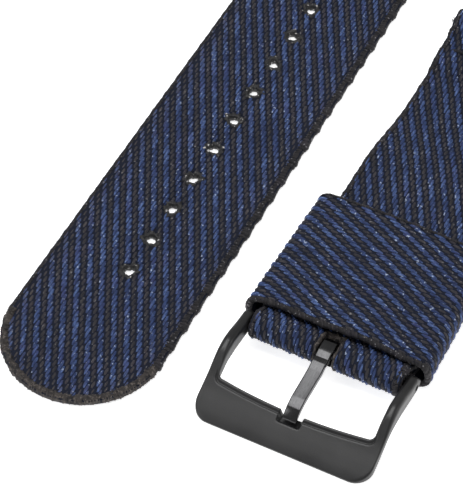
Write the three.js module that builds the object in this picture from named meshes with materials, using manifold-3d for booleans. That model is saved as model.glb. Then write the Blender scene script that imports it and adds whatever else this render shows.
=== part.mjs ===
// Two-piece woven nylon wrist band for a fitness tracker: a tail strap with holes and a buckle strap with a keeper.
// Millimetres, +Z up. Both straps lie flat side by side along Y, tip and buckle towards -Y.
// Origin: middle of the outline on the surface the band lies on.
import * as THREE from 'three';
import Module from 'manifold-3d';
import { mergeVertices } from 'three/addons/utils/BufferGeometryUtils.js';

const wasm = await Module();
wasm.setup();

// Webbing
const WEB_WIDTH = 22;
const WEB_THICK = 1.2;
const LAYER_GAP = 0.1;

// Tail strap
const TAIL_X = -16.1;
const TAIL_TIP_Y = -61;
const TAIL_BAR_Y = 58.8;
const HOLE_COUNT = 11;
const HOLE_PITCH = 6.087;
const HOLE_FIRST = 22.8;
const HOLE_RADIUS = 1.1;

// Lug bar at the tracker end of each strap
const LUG_BAR_Z = 2.2;
const LUG_FOLD_INNER = 1.0;
const LUG_TUBE_RADIUS = 0.9;
const LUG_TUBE_BORE = 0.65;
const LUG_TUBE_HALF = 10.5;
const LUG_TIP_RADIUS = 0.4;
const LUG_TIP_END = 11.9;
const LEVER_X = 7.0;
const LEVER_TRAVEL = 1.2;
const FOLD_BACK = 7;

// Buckle strap
const STRAP_X = 14.0;
const STRAP_SHIFT = 1.15;
const SHIFT_FROM_Y = -32;
const SHIFT_TO_Y = -6;
const LUG_BAR_Y = 23.0;
const BUCKLE_Y = -40.0;
const BUCKLE_Z = 3.2;
const BUCKLE_FOLD_INNER = 0.85;
const BUCKLE_FOLD_END_Y = -13;
const PINCH_HALF = 10.6;
const TANG_SLOT_HALF = 1.5;

// Keeper
const KEEPER_FRONT_Y = -37.6;
const KEEPER_REAR_Y = -16.6;
const KEEPER_HALF = 12.8;
const KEEPER_THICK = 1.0;
const KEEPER_HEIGHT = 4.75;
const KEEPER_MOUTH_RISE = 0.5;
const KEEPER_FLARE = 0.035;
const KEEPER_CROWN = 0.35;

// Buckle
const FRAME_HALF = 12.4;
const OPENING_HALF = 10.9;
const FRAME_FRONT_Y = -55;
const PLATE_INNER_Y = -49.7;
const PLATE_BOW = 0.5;
const FRAME_CORNER = 2.5;
const LUG_RADIUS = 1.3;
const LUG_HOLE_RADIUS = 0.5;
const NOTCH_HALF = 1.35;
const NOTCH_DEPTH = 1.95;
const NOTCH_FLOOR_Z = 1.55;
const TANG_HALF = 0.95;
const TANG_EYE_INNER = 0.82;
const TANG_EYE_OUTER = 1.7;
const BAR_TUBE_RADIUS = 0.75;
const BAR_TUBE_BORE = 0.58;
const BAR_TUBE_HALF = 10.4;
const BAR_TIP_RADIUS = 0.4;
const BAR_TIP_END = 12.0;

// ---- helpers ---------------------------------------------------------------------------------------------------

function solidOf(geometry) {
  const plain = geometry.clone();
  plain.deleteAttribute('normal');
  plain.deleteAttribute('uv');
  const merged = mergeVertices(plain, 1e-4);
  return new wasm.Manifold(new wasm.Mesh({
    numProp: 3,
    vertProperties: Float32Array.from(merged.attributes.position.array),
    triVerts: Uint32Array.from(merged.index.array),
  }));
}

function geometryOf(solid) {
  const mesh = solid.getMesh();
  const geometry = new THREE.BufferGeometry();
  geometry.setAttribute('position', new THREE.BufferAttribute(new Float32Array(mesh.vertProperties), 3));
  geometry.setIndex(new THREE.BufferAttribute(new Uint32Array(mesh.triVerts), 1));
  geometry.computeVertexNormals();
  return geometry;
}

// Closed outline in the Y-Z plane, pushed along X to both sides of the middle.
function acrossX(points, half, middle = 0) {
  const shape = new THREE.Shape(points.map(([y, z]) => new THREE.Vector2(y, z)));
  const geometry = new THREE.ExtrudeGeometry(shape, { depth: 2 * half, bevelEnabled: false });
  geometry.applyMatrix4(new THREE.Matrix4().set(0, 0, 1, middle - half, 1, 0, 0, 0, 0, 1, 0, 0, 0, 0, 0, 1));
  return solidOf(geometry);
}

// Closed outline in the X-Y plane, pushed up Z.
function upZ(points, z0, z1) {
  const shape = new THREE.Shape(points.map(([x, y]) => new THREE.Vector2(x, y)));
  const geometry = new THREE.ExtrudeGeometry(shape, { depth: z1 - z0, bevelEnabled: false });
  geometry.translate(0, 0, z0);
  return solidOf(geometry);
}

function box(x0, x1, y0, y1, z0, z1) {
  const geometry = new THREE.BoxGeometry(x1 - x0, y1 - y0, z1 - z0);
  geometry.translate((x0 + x1) / 2, (y0 + y1) / 2, (z0 + z1) / 2);
  return solidOf(geometry);
}

function cylinder(radius, p0, p1, sides = 20) {
  const from = new THREE.Vector3(...p0);
  const to = new THREE.Vector3(...p1);
  const along = to.clone().sub(from);
  const geometry = new THREE.CylinderGeometry(radius, radius, along.length(), sides);
  geometry.applyQuaternion(new THREE.Quaternion().setFromUnitVectors(
    new THREE.Vector3(0, 1, 0), along.normalize()));
  geometry.translate((p0[0] + p1[0]) / 2, (p0[1] + p1[1]) / 2, (p0[2] + p1[2]) / 2);
  return solidOf(geometry);
}

// Turned piece: [x, radius] steps, closed or meeting the axis, with the axis along X at (y, z).
function turned(profile, x, y, z, sides = 24) {
  const geometry = new THREE.LatheGeometry(profile.map(([a, r]) => new THREE.Vector2(r, a)), sides);
  geometry.rotateZ(-Math.PI / 2);
  geometry.translate(x, y, z);
  return solidOf(geometry);
}

// Strip of even thickness along a centre line in the Y-Z plane.
function strip(line, thick) {
  const left = [];
  const right = [];
  line.forEach(([y, z], i) => {
    const [ya, za] = line[Math.max(i - 1, 0)];
    const [yb, zb] = line[Math.min(i + 1, line.length - 1)];
    const length = Math.hypot(yb - ya, zb - za);
    const ny = (-(zb - za) / length) * (thick / 2);
    const nz = ((yb - ya) / length) * (thick / 2);
    left.push([y + ny, z + nz]);
    right.push([y - ny, z - nz]);
  });
  return left.concat(right.reverse());
}

function arc(y, z, radius, from, to, steps) {
  return Array.from({ length: steps + 1 }, (_, i) => {
    const angle = THREE.MathUtils.degToRad(from + ((to - from) * i) / steps);
    return [y + radius * Math.cos(angle), z + radius * Math.sin(angle)];
  });
}

// Smooth rise or fall between two points with level ends.
function ease([y0, z0], [y1, z1], steps) {
  return Array.from({ length: steps + 1 }, (_, i) => {
    const t = i / steps;
    return [y0 + (y1 - y0) * t, z0 + (z1 - z0) * t * t * (3 - 2 * t)];
  });
}

function material(color, roughness, metalness) {
  return new THREE.MeshStandardMaterial({ color, roughness, metalness });
}

function piece(name, solid, look) {
  const mesh = new THREE.Mesh(geometryOf(solid), look);
  mesh.name = name;
  return mesh;
}

// One row of lock stitches across the strap: the upper and lower threads meet at legs through the webbing.
// `grow` widens it into the space it needs in the webbing.
function stitchRow(halfWidth, y, zLow, zHigh, grow = 0) {
  const half = 0.16 + grow;
  const legs = 9;
  const pitch = (2 * halfWidth) / (legs - 1);
  const rows = [
    box(-halfWidth - half, halfWidth + half, y - half, y + half, zHigh - 0.3 - grow, zHigh + grow),
    box(-halfWidth - half, halfWidth + half, y - half, y + half, zLow - grow, zLow + 0.3 + grow),
  ];
  for (let i = 0; i < legs; i += 1) {
    const x = -halfWidth + i * pitch;
    rows.push(box(x - half, x + half, y - half, y + half, zLow, zHigh));
  }
  return wasm.Manifold.union(rows);
}

// ---- quick-release lug bar -------------------------------------------------------------------------------------

// Sliding range of the lever as a slot in the tube and in the webbing below it.
function lugBar(prefix, x, y) {
  const z = LUG_BAR_Z;
  const group = new THREE.Group();
  group.name = `${prefix}_lug_bar`;
  group.position.set(x, y, 0);

  const tubeProfile = [
    [-LUG_TUBE_HALF, LUG_TIP_RADIUS + 0.05],
    [-LUG_TUBE_HALF, LUG_TUBE_RADIUS - 0.2],
    [-LUG_TUBE_HALF + 0.2, LUG_TUBE_RADIUS],
    [LUG_TUBE_HALF - 0.2, LUG_TUBE_RADIUS],
    [LUG_TUBE_HALF, LUG_TUBE_RADIUS - 0.2],
    [LUG_TUBE_HALF, LUG_TIP_RADIUS + 0.05],
    [LUG_TUBE_HALF - 0.5, LUG_TIP_RADIUS + 0.05],
    [LUG_TUBE_HALF - 0.5, LUG_TUBE_BORE],
    [-LUG_TUBE_HALF + 0.5, LUG_TUBE_BORE],
    [-LUG_TUBE_HALF + 0.5, LUG_TIP_RADIUS + 0.05],
    [-LUG_TUBE_HALF, LUG_TIP_RADIUS + 0.05],
  ];
  const leverSlot = box(LEVER_X - 0.45 - LEVER_TRAVEL, LEVER_X + 0.45, -0.45, 0.45, z - 1.2, z);
  const tube = turned(tubeProfile, 0, 0, z).subtract(leverSlot);

  const seat = LUG_TUBE_HALF - 0.55;
  const fixedPin = turned([
    [-LUG_TIP_END, 0], [-LUG_TIP_END, LUG_TIP_RADIUS - 0.08], [-LUG_TIP_END + 0.08, LUG_TIP_RADIUS],
    [-seat, LUG_TIP_RADIUS], [-seat, 0.6], [-seat + 1.4, 0.6], [-seat + 1.4, 0],
  ], 0, 0, z);

  const sprungPin = turned([
    [LUG_TIP_END, 0], [LUG_TIP_END, LUG_TIP_RADIUS - 0.08], [LUG_TIP_END - 0.08, LUG_TIP_RADIUS],
    [seat, LUG_TIP_RADIUS], [seat, 0.6], [LEVER_X - 1.4, 0.6], [LEVER_X - 1.4, 0],
  ].reverse(), 0, 0, z).subtract(cylinder(0.28, [LEVER_X, 0, z - 1], [LEVER_X, 0, z + 0.2]));

  const lever = wasm.Manifold.union([
    cylinder(0.25, [LEVER_X, 0, z - 1.8], [LEVER_X, 0, z + 0.15]),
    cylinder(0.75, [LEVER_X, 0, z - 2.0], [LEVER_X, 0, z - 1.45]),
  ]);

  const springFrom = -seat + 1.45;
  const springTo = LEVER_X - 1.45;
  const turns = 12;
  class Coil extends THREE.Curve {
    getPoint(t, target = new THREE.Vector3()) {
      const angle = 2 * Math.PI * turns * t;
      const reach = springTo - springFrom - 0.24;
      return target.set(springFrom + 0.12 + reach * t, 0.45 * Math.cos(angle), z + 0.45 * Math.sin(angle));
    }
  }
  const wire = new THREE.Shape().absarc(0, 0, 0.11, 0, 2 * Math.PI, false);
  const spring = solidOf(new THREE.ExtrudeGeometry(wire, {
    steps: turns * 12, curveSegments: 5, bevelEnabled: false, extrudePath: new Coil(),
  }));

  const steel = [0x9a9c9e, 0.32, 0.95];
  group.add(piece(`${prefix}_bar_tube`, tube, material(...steel)));
  group.add(piece(`${prefix}_bar_fixed_pin`, fixedPin, material(...steel)));
  group.add(piece(`${prefix}_bar_sprung_pin`, sprungPin, material(...steel)));
  group.add(piece(`${prefix}_bar_lever`, lever, material(...steel)));
  group.add(piece(`${prefix}_bar_spring`, spring, material(0x8a8c90, 0.35, 0.95)));
  return group;
}

// Room for the lever and its knob in the underside of the fold.
function leverWindow(y) {
  return box(LEVER_X - 1.15 - LEVER_TRAVEL, LEVER_X + 1.15, y - 1.15, y + 1.15, -1, LUG_BAR_Z);
}

// ---- webbing ---------------------------------------------------------------------------------------------------

const HALF_THICK = WEB_THICK / 2;
const STACKED = WEB_THICK + LAYER_GAP;

// Lug end of a strap, from the upper layer down round the bar and back underneath.
function lugFoldLine(barY) {
  const radius = LUG_FOLD_INNER + HALF_THICK;
  return [
    ...ease([barY - 10.6, HALF_THICK], [barY - 7.3, STACKED + HALF_THICK], 6),
    ...ease([barY - 4.4, STACKED + HALF_THICK], [barY - 0.4, LUG_BAR_Z + radius], 6),
    ...arc(barY, LUG_BAR_Z, radius, 80, -90, 16),
    [barY - FOLD_BACK, HALF_THICK],
  ];
}

function lugSeam(barY, grow) {
  return stitchRow(9.4, barY - 5.7, 0.05, STACKED + WEB_THICK - 0.05, grow);
}

function tailWebbing() {
  const line = [[TAIL_TIP_Y, HALF_THICK], ...lugFoldLine(TAIL_BAR_Y)];
  const half = WEB_WIDTH / 2;
  const tipArc = arc(0, TAIL_TIP_Y + half, half, 180, 360, 40);
  const outline = [...tipArc, [half, 70], [-half, 70]];
  let solid = acrossX(strip(line, WEB_THICK), half).intersect(upZ(outline, -1, 10));
  const holes = Array.from({ length: HOLE_COUNT }, (_, i) => {
    const y = TAIL_TIP_Y + HOLE_FIRST + i * HOLE_PITCH;
    return cylinder(HOLE_RADIUS, [0, y, -1], [0, y, 3], 20);
  });
  solid = solid.subtract(wasm.Manifold.union(holes));
  return solid.subtract(leverWindow(TAIL_BAR_Y)).subtract(lugSeam(TAIL_BAR_Y, 0.12));
}

// The strap runs a little off the buckle's middle: it moves over sideways inside the keeper.
function shifted(solid) {
  const geometry = geometryOf(solid);
  const position = geometry.attributes.position;
  for (let i = 0; i < position.count; i += 1) {
    const t = THREE.MathUtils.smoothstep(position.getY(i), SHIFT_FROM_Y, SHIFT_TO_Y);
    position.setX(i, position.getX(i) + STRAP_SHIFT * t);
  }
  return solidOf(geometry);
}

const LOWER_MID = KEEPER_THICK + LAYER_GAP + HALF_THICK;
const UPPER_MID = LOWER_MID + STACKED;

function buckleSeam(grow) {
  return stitchRow(9.4, BUCKLE_Y + 6.2, LOWER_MID - HALF_THICK + 0.05, UPPER_MID + HALF_THICK - 0.05, grow);
}

function buckleWebbing() {
  const radius = BUCKLE_FOLD_INNER + HALF_THICK;
  const line = [
    ...ease([BUCKLE_FOLD_END_Y, LOWER_MID], [BUCKLE_Y + 3.6, LOWER_MID], 9),
    ...arc(BUCKLE_Y, BUCKLE_Z, radius, 270, 94, 18),
    ...ease([BUCKLE_Y + 0.4, BUCKLE_Z + radius - 0.04], [BUCKLE_Y + 3.4, UPPER_MID], 6),
    ...ease([-33, UPPER_MID], [-16, UPPER_MID], 7),
    ...ease([-8, UPPER_MID], [6, HALF_THICK], 8),
    ...lugFoldLine(LUG_BAR_Y),
  ];
  const half = WEB_WIDTH / 2;
  const outline = [
    [-half, BUCKLE_Y + 4.5], [-PINCH_HALF, BUCKLE_Y + 2], [-PINCH_HALF, BUCKLE_Y - 4],
    [PINCH_HALF, BUCKLE_Y - 4], [PINCH_HALF, BUCKLE_Y + 2], [half, BUCKLE_Y + 4.5], [half, 40], [-half, 40],
  ];
  const slot = box(-TANG_SLOT_HALF, TANG_SLOT_HALF, BUCKLE_Y - 4, BUCKLE_Y + 2.4, 0, 8);
  return shifted(acrossX(strip(line, WEB_THICK), half).intersect(upZ(outline, -1, 10)))
    .subtract(slot)
    .subtract(leverWindow(LUG_BAR_Y).translate([STRAP_SHIFT, 0, 0]))
    .subtract(buckleSeam(0.12))
    .subtract(lugSeam(LUG_BAR_Y, 0.12).translate([STRAP_SHIFT, 0, 0]));
}

// ---- keeper ----------------------------------------------------------------------------------------------------

function ring(half, z0, z1, corner) {
  const shape = new THREE.Shape();
  shape.moveTo(-half + corner, z0);
  shape.lineTo(half - corner, z0);
  shape.absarc(half - corner, z0 + corner, corner, -Math.PI / 2, 0, false);
  shape.lineTo(half, z1 - corner);
  shape.absarc(half - corner, z1 - corner, corner, 0, Math.PI / 2, false);
  shape.quadraticCurveTo(0, z1 + 2 * KEEPER_CROWN, -half + corner, z1);
  shape.absarc(-half + corner, z1 - corner, corner, Math.PI / 2, Math.PI, false);
  shape.lineTo(-half, z0 + corner);
  shape.absarc(-half + corner, z0 + corner, corner, Math.PI, 1.5 * Math.PI, false);
  return shape;
}

function loopSolid(half, z0, z1, corner, from, to) {
  const geometry = new THREE.ExtrudeGeometry(ring(half, z0, z1, corner), {
    depth: to - from, bevelEnabled: false, steps: 8, curveSegments: 8,
  });
  geometry.applyMatrix4(new THREE.Matrix4().set(-1, 0, 0, 0, 0, 0, 1, from, 0, 1, 0, 0, 0, 0, 0, 1));
  const position = geometry.attributes.position;
  for (let i = 0; i < position.count; i += 1) {
    const t = THREE.MathUtils.clamp((KEEPER_REAR_Y - position.getY(i)) / (KEEPER_REAR_Y - KEEPER_FRONT_Y), 0, 1);
    const lift = THREE.MathUtils.clamp((position.getZ(i) - 1) / (KEEPER_HEIGHT - 2), 0, 1);
    position.setZ(i, position.getZ(i) + KEEPER_MOUTH_RISE * t * lift);
    position.setX(i, position.getX(i) * (1 + KEEPER_FLARE * t));
  }
  return solidOf(geometry);
}

function keeperSeam(grow) {
  return stitchRow(7.6, (KEEPER_FRONT_Y + KEEPER_REAR_Y) / 2, 0.05, KEEPER_THICK - 0.02, grow);
}

function keeperLoop() {
  const outer = loopSolid(KEEPER_HALF, 0, KEEPER_HEIGHT, 2.1, KEEPER_FRONT_Y, KEEPER_REAR_Y);
  const inner = loopSolid(KEEPER_HALF - KEEPER_THICK, KEEPER_THICK, KEEPER_HEIGHT - KEEPER_THICK, 0.35,
    KEEPER_FRONT_Y - 1, KEEPER_REAR_Y + 1);
  return outer.subtract(inner).subtract(keeperSeam(0.12));
}

// ---- buckle ----------------------------------------------------------------------------------------------------

// Side profile of the frame: round lugs, arched arms, broad front plate sloping to the table.
const FRAME_SIDE = [
  ...arc(BUCKLE_Y, BUCKLE_Z, LUG_RADIUS, -75, 105, 14),
  [-41.7, 4.75], [-43.6, 5.25], [-45.4, 5.45], [-47.0, 5.0], [-48.3, 4.1], [-49.6, 3.1], [-51.2, 2.3],
  [-52.8, 1.55], [-54.2, 0.8], [-54.85, 0.35], [FRAME_FRONT_Y, 0],
  [-53.3, 0], [-52.2, 0.2], [-51.0, 0.8], [-49.8, 1.5], [-48.6, 2.1], [-47.2, 2.5], [-44.5, 2.5], [-41.8, 2.15],
];

function buckleFrame() {
  const c = FRAME_CORNER;
  const outline = [
    ...arc(-FRAME_HALF + c, FRAME_FRONT_Y + c, c, 180, 270, 8),
    ...arc(FRAME_HALF - c, FRAME_FRONT_Y + c, c, 270, 360, 8),
    [FRAME_HALF, -30], [-FRAME_HALF, -30],
  ];
  const r = 0.7;
  const opening = [
    ...arc(-OPENING_HALF + r, PLATE_INNER_Y + r, r, 180, 270, 5),
    [-6.5, PLATE_INNER_Y - PLATE_BOW], [6.5, PLATE_INNER_Y - PLATE_BOW],
    ...arc(OPENING_HALF - r, PLATE_INNER_Y + r, r, 270, 360, 5),
    [OPENING_HALF, -30], [-OPENING_HALF, -30],
  ];
  const notch = box(-NOTCH_HALF, NOTCH_HALF, PLATE_INNER_Y - NOTCH_DEPTH, PLATE_INNER_Y + 1, NOTCH_FLOOR_Z, 8);
  const bores = cylinder(LUG_HOLE_RADIUS, [-14, BUCKLE_Y, BUCKLE_Z], [14, BUCKLE_Y, BUCKLE_Z]);
  return acrossX(FRAME_SIDE, FRAME_HALF)
    .intersect(upZ(outline, -1, 10))
    .subtract(upZ(opening, -1, 10))
    .subtract(notch)
    .subtract(bores);
}

// Bent strip: eye round the bar, out of the slot, down and forward into the notch.
function buckleTang() {
  const side = [
    ...arc(BUCKLE_Y, BUCKLE_Z, TANG_EYE_OUTER, -150, 90, 24),
    [-41.3, 4.75], [-42.9, 4.2], [-44.6, 4.0], [-49.1, 3.7], [-50.4, 3.3], [-51.25, 2.7], [-51.3, 2.3],
    [-51.0, 2.05], [-50.1, 2.5], [-48.9, 2.78], [-44.6, 3.05], [-42.9, 3.1],
  ];
  return acrossX(side, TANG_HALF)
    .subtract(cylinder(TANG_EYE_INNER, [-3, BUCKLE_Y, BUCKLE_Z], [3, BUCKLE_Y, BUCKLE_Z]));
}

function buckleBar() {
  const group = new THREE.Group();
  group.name = 'buckle_bar';
  group.position.set(0, BUCKLE_Y, 0);
  const half = BAR_TUBE_HALF;
  const tube = turned([
    [-half, BAR_TIP_RADIUS + 0.04], [-half, BAR_TUBE_RADIUS], [half, BAR_TUBE_RADIUS],
    [half, BAR_TIP_RADIUS + 0.04], [half - 0.4, BAR_TIP_RADIUS + 0.04], [half - 0.4, BAR_TUBE_BORE],
    [-half + 0.4, BAR_TUBE_BORE], [-half + 0.4, BAR_TIP_RADIUS + 0.04], [-half, BAR_TIP_RADIUS + 0.04],
  ], 0, 0, BUCKLE_Z);
  const seat = half - 0.45;
  const pin = [
    [-BAR_TIP_END, 0], [-BAR_TIP_END, BAR_TIP_RADIUS], [-seat, BAR_TIP_RADIUS], [-seat, 0.53],
    [-seat + 2.2, 0.53], [-seat + 2.2, 0],
  ];
  const left = turned(pin, 0, 0, BUCKLE_Z);
  const right = turned(pin.map(([a, r]) => [-a, r]).reverse(), 0, 0, BUCKLE_Z);
  const reach = seat - 2.3;
  const turns = 13;
  class Coil extends THREE.Curve {
    getPoint(t, target = new THREE.Vector3()) {
      const angle = 2 * Math.PI * turns * t;
      return target.set(
        (reach - 0.12) * (2 * t - 1), 0.4 * Math.cos(angle), BUCKLE_Z + 0.4 * Math.sin(angle));
    }
  }
  const wire = new THREE.Shape().absarc(0, 0, 0.1, 0, 2 * Math.PI, false);
  const spring = solidOf(new THREE.ExtrudeGeometry(wire, {
    steps: turns * 12, curveSegments: 5, bevelEnabled: false, extrudePath: new Coil(),
  }));
  group.add(piece('buckle_bar_tube', tube, material(0x3a3a3c, 0.35, 0.9)));
  group.add(piece('buckle_bar_pin_left', left, material(0x55565a, 0.3, 0.95)));
  group.add(piece('buckle_bar_pin_right', right, material(0x55565a, 0.3, 0.95)));
  group.add(piece('buckle_bar_spring', spring, material(0x8a8c90, 0.35, 0.95)));
  return group;
}

// ---- assembly --------------------------------------------------------------------------------------------------

const nylon = [0x1c2a4d, 0.85, 0.0];
const thread = [0x15171c, 0.8, 0.0];

const tail = new THREE.Group();
tail.name = 'tail_strap';
tail.position.set(TAIL_X, 0, 0);
tail.add(piece('tail_webbing', tailWebbing(), material(...nylon)));
tail.add(piece('tail_seam', lugSeam(TAIL_BAR_Y, 0), material(...thread)));

const strap = new THREE.Group();
strap.name = 'buckle_strap';
strap.position.set(STRAP_X, 0, 0);
strap.add(piece('buckle_webbing', buckleWebbing(), material(...nylon)));
strap.add(piece('buckle_fold_seam', buckleSeam(0), material(...thread)));
const lugFoldSeam = piece('lug_fold_seam', lugSeam(LUG_BAR_Y, 0), material(...thread));
lugFoldSeam.position.x = STRAP_SHIFT;
strap.add(lugFoldSeam);
strap.add(piece('keeper', keeperLoop(), material(...nylon)));
strap.add(piece('keeper_seam', keeperSeam(0), material(...thread)));
strap.add(piece('buckle_frame', buckleFrame(), material(0x242424, 0.5, 0.6)));
strap.add(piece('buckle_tang', buckleTang(), material(0x4a4a4a, 0.25, 0.95)));
strap.add(buckleBar());

const band = new THREE.Group();
band.name = 'fitness_tracker_band';
band.add(tail);
band.add(strap);
band.add(lugBar('tail', TAIL_X, TAIL_BAR_Y));
band.add(lugBar('lug', STRAP_X + STRAP_SHIFT, LUG_BAR_Y));

export default band;
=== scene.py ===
import bpy
import numpy as np
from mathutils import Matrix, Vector


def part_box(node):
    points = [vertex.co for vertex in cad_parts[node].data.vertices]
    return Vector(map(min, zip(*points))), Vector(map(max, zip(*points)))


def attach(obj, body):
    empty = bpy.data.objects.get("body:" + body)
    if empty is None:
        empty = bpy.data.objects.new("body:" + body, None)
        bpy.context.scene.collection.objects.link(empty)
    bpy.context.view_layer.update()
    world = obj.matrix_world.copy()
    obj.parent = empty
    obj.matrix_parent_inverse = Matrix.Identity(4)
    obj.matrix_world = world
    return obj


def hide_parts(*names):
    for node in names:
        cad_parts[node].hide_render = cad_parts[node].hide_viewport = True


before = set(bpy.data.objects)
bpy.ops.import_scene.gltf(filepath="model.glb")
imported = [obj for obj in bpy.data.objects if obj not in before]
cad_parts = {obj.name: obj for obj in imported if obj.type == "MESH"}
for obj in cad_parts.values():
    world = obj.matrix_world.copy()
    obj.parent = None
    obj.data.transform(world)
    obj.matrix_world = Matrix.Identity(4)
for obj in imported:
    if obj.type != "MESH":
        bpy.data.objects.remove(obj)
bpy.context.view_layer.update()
MM = 0.001


# ---- Tail strap: core --------------------------------------------------------------------------------------
# The longer strap, one length of flat nylon webbing 22 mm wide. Its free end is cut round, a row of holes is melted
# through its middle, and the other end is turned down round the spring bar of the tracker's lug and sewn to itself.
# The core is the tight ground of the weave, under the yarns that float over it.

def span(node):
    """Lowest and highest corner of a node of the frame, in millimetres."""
    low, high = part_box(node)
    return np.array(low) / MM, np.array(high) / MM


def resting(points):
    """The same points, pressed flat where they would reach into the table."""
    return np.column_stack([points[:, :2], np.maximum(points[:, 2], 0)])


def made(name, points, *faces, uv=None, **shades):
    """A smooth mesh from points in millimetres and arrays of faces, each with one number of corners; a uv pair and
    named numbers may come with every point."""
    mesh = bpy.data.meshes.new(name)
    corners = np.concatenate([f.ravel() for f in faces]).astype(np.int32)
    counts = np.concatenate([np.full(len(f), f.shape[1]) for f in faces])
    mesh.vertices.add(len(points))
    mesh.vertices.foreach_set("co", (np.asarray(points) * MM).astype(np.float32).ravel())
    mesh.loops.add(len(corners))
    mesh.loops.foreach_set("vertex_index", corners)
    mesh.polygons.add(len(counts))
    mesh.polygons.foreach_set("loop_start", (np.cumsum(counts) - counts).astype(np.int32))
    mesh.polygons.foreach_set("use_smooth", np.ones(len(counts), bool))
    mesh.update(calc_edges=True)
    if uv is not None:
        layer = mesh.uv_layers.new(name="yarn")
        layer.uv.foreach_set("vector", np.asarray(uv)[corners].astype(np.float32).ravel())
    for key, value in shades.items():
        mesh.attributes.new(key, "FLOAT", "POINT").data.foreach_set("value", value.astype(np.float32))
    mesh.validate()
    thing = bpy.data.objects.new(name, mesh)
    bpy.context.scene.collection.objects.link(thing)
    return thing


def ease(start, end, steps):
    """Points from start to end, level at both ends: the height goes by 3t² - 2t³."""
    t = np.linspace(0, 1, steps + 1)
    return np.stack([start[0] + (end[0] - start[0]) * t, start[1] + (end[1] - start[1]) * t * t * (3 - 2 * t)], 1)


def arc(y, z, radius, first, last, steps):
    """Points round (y, z) from one angle to another, in degrees."""
    angle = np.radians(np.linspace(first, last, steps + 1))
    return np.stack([y + radius * np.cos(angle), z + radius * np.sin(angle)], 1)


def run_of(*parts):
    """Length of the joined parts, and a function from a distance along them to the place there and the way out to
    their left, on points evened to 0.1 mm and softened over half a millimetre."""
    points = np.concatenate(parts)
    far = np.concatenate([[0], np.cumsum(np.hypot(*np.diff(points, axis=0).T))])
    even = np.linspace(0, far[-1], int(far[-1] / 0.1) + 1)
    line = np.stack([np.interp(even, far, points[:, k]) for k in (0, 1)], 1)
    reach = np.arange(1, 4)[:, None]
    before = line[0] - (line[1] - line[0]) * reach[::-1]
    after = line[-1] + (line[-1] - line[-2]) * reach
    longer = np.concatenate([before, line, after])
    line = np.stack([np.convolve(longer[:, k], np.ones(7) / 7, "valid") for k in (0, 1)], 1)
    way = np.gradient(line, axis=0)
    way /= np.hypot(way[:, 0], way[:, 1])[:, None]

    def at(s):
        a, b, da, db = (np.interp(s, even, row) for row in (line[:, 0], line[:, 1], way[:, 0], way[:, 1]))
        size = np.hypot(da, db)
        return a, b, -db / size, da / size

    return far[-1], at


def lug_fold(bar_y, bar_z, low):
    """Line of the webbing at a lug: up onto its own end, over the bar, round it and back underneath."""
    return [ease([bar_y - 10.6, low], [bar_y - 7.3, low + LAYER], 6),
            ease([bar_y - 4.4, low + LAYER], [bar_y - 0.4, bar_z + 1.6], 6),
            arc(bar_y, bar_z, 1.6, 80, -90, 16), np.array([[bar_y - FOLD_BACK, low]])]


def slab(name, place, across, along, keep, half):
    """Closed sheet of webbing on a grid: across and along give each grid point's place in the flat cloth, keep says
    which cells are there, and a wall stands wherever a kept cell has no neighbour."""
    rows, columns = across.shape
    number = np.arange(rows * columns).reshape(rows, columns)
    top = np.stack(place(across, along, half), -1).reshape(-1, 3)
    under = np.stack(place(across, along, -half), -1).reshape(-1, 3)
    a, b, c, d = number[:-1, :-1], number[:-1, 1:], number[1:, 1:], number[1:, :-1]
    shell = rows * columns
    faces = [np.stack([a, b, c, d], -1)[keep], np.stack([d, c, b, a], -1)[keep] + shell]
    held = np.pad(keep, 1)
    inside = held[1:-1, 1:-1]
    beside = ((held[:-2, 1:-1], a, b), (held[1:-1, 2:], b, c), (held[2:, 1:-1], c, d), (held[1:-1, :-2], d, a))
    for there, p, q in beside:
        edge = inside & ~there
        faces.append(np.stack([q, p, p + shell, q + shell], -1)[edge])
    quads = np.concatenate(faces)
    used, index = np.unique(quads, return_inverse=True)
    uv = np.stack([across.ravel(), along.ravel()], 1)[used % shell]
    return made(name, np.concatenate([top, under])[used], index.reshape(-1, 4), uv=uv)


WIDTH = 22.0
HALF_WIDTH = WIDTH / 2
LAYER = 1.3
FOLD_BACK = 7.0
CORE = 0.40

tail_low, tail_high = span("tail_webbing")
tail_mid = (tail_low[0] + tail_high[0]) / 2
tail_bar = sum(span("tail_bar_tube")) / 2
web_z = tail_low[2] + 0.6
tail_length, tail_at = run_of(
    np.array([[tail_low[1], web_z], [tail_low[1] + 20, web_z]]), *lug_fold(tail_bar[1], tail_bar[2], web_z))


def tail_place(u, s, h):
    """Point of the tail strap u across, s along and h out of the middle of the cloth."""
    y, z, ny, nz = tail_at(s)
    return tail_mid + u + 0 * y, y + ny * h, z + nz * h


def tip_half(s):
    """Half width of the strap at s from the round end."""
    rounded = np.sqrt(np.maximum(0.02, HALF_WIDTH ** 2 - (HALF_WIDTH - s) ** 2))
    return np.where(s < HALF_WIDTH, rounded, HALF_WIDTH)


HOLE_RADIUS = 1.0
HOLE_FIRST = 22.8
HOLE_PITCH = 6.087
HOLE_COUNT = 11
holes = HOLE_FIRST + HOLE_PITCH * np.arange(HOLE_COUNT)
lever_from, lever_to = span("tail_bar_lever")
lever_u = np.array([lever_from[0] - 1.6, lever_to[0] + 0.4]) - tail_mid
hole_rows = (holes[:, None] + np.linspace(-1, 1, 7)).ravel()
tail_rows = np.unique(np.round(np.concatenate([
    HALF_WIDTH - HALF_WIDTH * np.cos(np.linspace(0.06, np.pi / 2, 22)), hole_rows, np.linspace(14, 20, 4),
    np.linspace(86, 103, 9), np.linspace(104, tail_length, 90)]), 3))
tail_columns = np.unique(np.concatenate([
    np.linspace(-11, -1, 8), np.linspace(-1, 1, 7), np.linspace(1, lever_u[0], 4), np.linspace(*lever_u, 4),
    np.linspace(lever_u[1], 11, 4)]))
across, along = np.meshgrid(tail_columns, tail_rows)
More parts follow.
